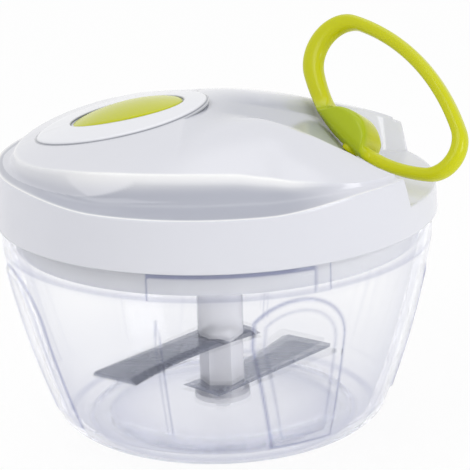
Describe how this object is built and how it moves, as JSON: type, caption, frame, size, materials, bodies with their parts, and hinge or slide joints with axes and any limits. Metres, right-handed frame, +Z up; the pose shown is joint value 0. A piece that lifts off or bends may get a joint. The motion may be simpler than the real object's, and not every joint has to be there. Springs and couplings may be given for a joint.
{
  "type": "pull-string food chopper",
  "caption": "Hand food chopper: clear tapered bowl, two blades on a centre column, bayonet lid with a sprung pull-cord reel, and a ring handle resting in a notch of the lid.",
  "frame": {"origin": "middle of the base, on the surface that the foot ring stands on", "axes": "+Z up, along the blade column; +X towards the notch and pull ring; green oval of the lid at -X"},
  "size_m": [0.1495, 0.14, 0.127],
  "materials": {
    "clear_plastic": "clear polished, injection moulded",
    "silicone": "translucent matt silicone",
    "steel": "turned steel",
    "blade_steel": "ground stainless steel",
    "frosted_plastic": "milky translucent",
    "white_plastic": "glossy white",
    "green_plastic": "glossy lime green",
    "inner_plastic": "satin white",
    "acetal": "low friction, natural white",
    "spring_steel": "blued strip",
    "cord": "braided nylon"
  },
  "bodies": {
    "bowl": {"bowl": "clear_plastic", "foot_ring": "silicone", "bowl_pin": "steel"},
    "blade": {"blade_column": "frosted_plastic", "upper_blade": "blade_steel", "lower_blade": "blade_steel"},
    "seal": {"lid_seal": "silicone"},
    "lid": {"lid_cover": "white_plastic", "bezel": "white_plastic", "green_inlay": "green_plastic", "eyelet": "white_plastic", "inner_plate": "inner_plastic", "lid_screws": "steel", "drive_bush": "acetal", "spring_cup": "inner_plastic", "cup_screws": "steel", "return_spring": "spring_steel", "cord_lead": "cord"},
    "drive": {"drive_hub": "acetal", "pawls": "acetal", "pawl_pins": "steel"},
    "reel": {"reel": "acetal", "ratchet_ring": "steel", "cord_winding": "cord"},
    "handle": {"pull_ring": "green_plastic", "cord_stub": "cord", "cord_knot": "cord", "knot_cap": "green_plastic"}
  },
  "joints": [
    {"name": "lid_lift", "type": "slide", "parent": "bowl", "child": "seal", "axis": [0, 0, 1], "range_m": [0, 0.1]},
    {"name": "lid_turn", "type": "hinge", "parent": "seal", "child": "lid", "pos_m": [0, 0, 0.072], "axis": [0, 0, 1], "range_deg": [-22, 0]},
    {"name": "cord_pull", "type": "slide", "parent": "lid", "child": "handle", "axis": [0.5868, 0.1056, 0.8028], "range_m": [0, 0.3], "stiffness_N_per_m": 15, "springref_m": -0.1},
    {"name": "reel_spin", "type": "hinge", "parent": "seal", "child": "reel", "pos_m": [0, 0, 0.076], "axis": [0, 0, 1], "range_deg": [0, 1015]},
    {"name": "drive_spin", "type": "hinge", "parent": "seal", "child": "drive", "pos_m": [0, 0, 0.066], "axis": [0, 0, 1], "range_deg": [0, 1015]},
    {"name": "blade_spin", "type": "hinge", "parent": "bowl", "child": "blade", "pos_m": [0, 0, 0.03], "axis": [0, 0, 1], "range_deg": [0, 1015]}
  ],
  "couplings": [
    {"joint": "reel_spin", "follows": "cord_pull", "rad_per_m": 58.824},
    {"joint": "drive_spin", "follows": "cord_pull", "rad_per_m": 58.824},
    {"joint": "blade_spin", "follows": "cord_pull", "rad_per_m": 58.824}
  ]
}
